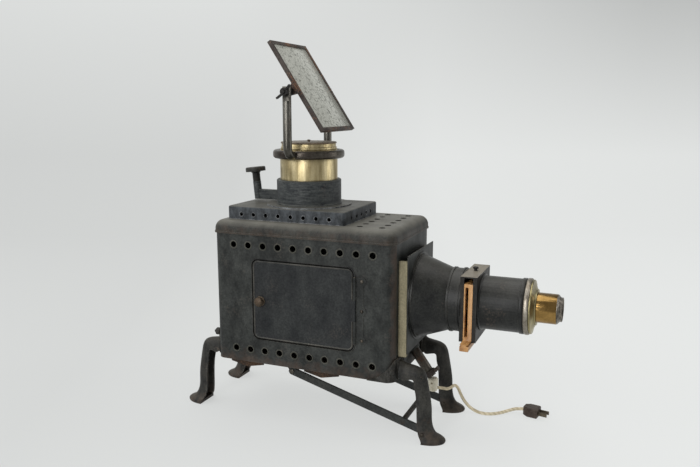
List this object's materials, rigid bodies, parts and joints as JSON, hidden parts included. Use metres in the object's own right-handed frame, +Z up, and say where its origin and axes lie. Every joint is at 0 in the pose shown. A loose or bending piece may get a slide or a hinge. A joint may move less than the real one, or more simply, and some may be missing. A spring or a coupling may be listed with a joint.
{
  "type": "magic lantern",
  "caption": "Combination magic lantern on cast legs: lamp house with door, slide stage and focusing lens in front, upright lens with tilting mirror, copy plate below.",
  "frame": {"origin": "on the floor, under the middle of the lantern's bounding box without its flex and plug", "axes": "+X towards the screen along the front lens, +Z up, -Y the side with the door"},
  "size_m": [0.6648, 0.215, 0.6529],
  "materials": {
    "black_japan": "worn satin black paint over sheet steel",
    "black_casting": "painted black, rusty at the feet",
    "dark_steel": "dark, lightly rusted",
    "bare_steel": "bare, dull brown-grey",
    "rusty_steel": "brown, rusted",
    "brass": "tarnished satin",
    "nickel": "worn nickel plate",
    "cap_paint": "dull grey-brown",
    "millboard": "pressed board",
    "carrier_wood": "varnished",
    "lens_glass": "polished",
    "mirror_face": "old silvering",
    "porcelain": "glazed",
    "flex_braid": "braided twin flex",
    "plug_moulding": "dull moulded"
  },
  "bodies": {
    "house": {"side_wall_near": "black_japan", "side_wall_far": "black_japan", "front_wall": "black_japan", "rear_wall": "black_japan", "bottom_plate": "black_japan", "lid": "black_japan", "vent_box": "black_japan", "lens_collar": "black_casting", "leg_front_near": "black_casting", "leg_front_far": "black_casting", "leg_rear_near": "black_casting", "leg_rear_far": "black_casting", "leg_bolts": "dark_steel", "door_stop": "black_japan", "hinge_leaf": "black_japan", "hinge_pin": "black_japan", "hinge_rivets": "black_japan", "front_plate": "black_japan", "front_rails": "millboard", "condenser_cone": "black_japan", "condenser_cell": "black_japan", "condenser_lenses": "lens_glass", "slide_stage": "bare_steel", "front_tube": "black_japan", "tube_rim": "nickel", "lens_flange": "brass", "copy_pivot_pins": "dark_steel", "lamp_sleeve": "black_japan", "lamp_tube": "dark_steel", "lamp_clamp": "rusty_steel", "lamp_connector": "porcelain", "lamp_holder": "brass", "lamp_bulb": "lens_glass", "cord": "flex_braid", "plug_body": "plug_moulding", "plug_prongs": "brass"},
    "door": {"door": "black_japan"},
    "door_latch": {"door_knob": "brass", "latch_tongue": "dark_steel"},
    "top_lens": {"top_lens_barrel": "brass", "top_lens_cell": "brass", "top_lens_glasses": "lens_glass"},
    "lens_cap": {"lens_cap": "cap_paint"},
    "mirror_yoke": {"yoke_ring": "dark_steel", "yoke_posts": "dark_steel", "pivot_screws": "dark_steel"},
    "mirror": {"mirror_frame": "rusty_steel", "mirror_glass": "mirror_face"},
    "wing_nut_near": {"wing_nut_near": "dark_steel"},
    "wing_nut_far": {"wing_nut_far": "dark_steel"},
    "adjusting_knob": {"adjusting_knob": "black_casting"},
    "slide_carrier": {"slide_carrier": "carrier_wood"},
    "stage_screw": {"stage_screw": "dark_steel"},
    "front_lens": {"front_lens_barrel": "brass", "lens_tip_ring": "nickel", "front_lens_glasses": "lens_glass"},
    "copy_frame": {"copy_bars": "dark_steel", "copy_cross_bar": "dark_steel", "plate_pins": "dark_steel"},
    "copy_plate": {"copy_plate": "rusty_steel"}
  },
  "joints": [
    {"name": "door_swing", "type": "hinge", "parent": "house", "child": "door", "pos_m": [0.0199, -0.1, 0.2165], "axis": [0, 0, 1], "range_deg": [0, 110]},
    {"name": "latch_turn", "type": "hinge", "parent": "door", "child": "door_latch", "pos_m": [-0.1555, -0.098, 0.2145], "axis": [0, 1, 0], "range_deg": [0, 90]},
    {"name": "top_lens_focus", "type": "slide", "parent": "house", "child": "top_lens", "axis": [0, 0, 1], "range_m": [-0.03, 0.02]},
    {"name": "cap_lift", "type": "slide", "parent": "top_lens", "child": "lens_cap", "axis": [0, 0, 1], "range_m": [0, 0.014]},
    {"name": "mirror_swivel", "type": "hinge", "parent": "top_lens", "child": "mirror_yoke", "pos_m": [-0.1075, 0, 0.46325], "axis": [0, 0, 1], "continuous": true},
    {"name": "mirror_tilt", "type": "hinge", "parent": "mirror_yoke", "child": "mirror", "pos_m": [-0.1075, 0, 0.56825], "axis": [0, 1, 0], "range_deg": [-110, 0]},
    {"name": "wing_nut_near_turn", "type": "hinge", "parent": "mirror_yoke", "child": "wing_nut_near", "pos_m": [-0.1075, -0.089, 0.56825], "axis": [0, 1, 0], "continuous": true},
    {"name": "wing_nut_far_turn", "type": "hinge", "parent": "mirror_yoke", "child": "wing_nut_far", "pos_m": [-0.1075, 0.089, 0.56825], "axis": [0, 1, 0], "continuous": true},
    {"name": "adjusting_knob_turn", "type": "hinge", "parent": "house", "child": "adjusting_knob", "pos_m": [-0.21, 0, 0.3785], "axis": [-0.1045, 0, 0.9945], "continuous": true},
    {"name": "carrier_slide", "type": "slide", "parent": "house", "child": "slide_carrier", "axis": [0, 1, 0], "range_m": [-0.06, 0.06]},
    {"name": "stage_screw_turn", "type": "hinge", "parent": "house", "child": "stage_screw", "pos_m": [0.195, 0, 0.2785], "axis": [0, 0, 1], "continuous": true},
    {"name": "front_lens_focus", "type": "slide", "parent": "house", "child": "front_lens", "axis": [1, 0, 0], "range_m": [-0.02, 0.02]},
    {"name": "copy_frame_swing", "type": "hinge", "parent": "house", "child": "copy_frame", "pos_m": [0.1325, 0, 0.014], "axis": [0, -1, 0], "range_deg": [0, 12]},
    {"name": "copy_plate_level", "type": "hinge", "parent": "copy_frame", "child": "copy_plate", "pos_m": [-0.11118, 0, 0.08387], "axis": [0, -1, 0], "range_deg": [-12, 0]}
  ],
  "couplings": [
    {"joint": "copy_plate_level", "follows": "copy_frame_swing", "ratio": -1}
  ]
}
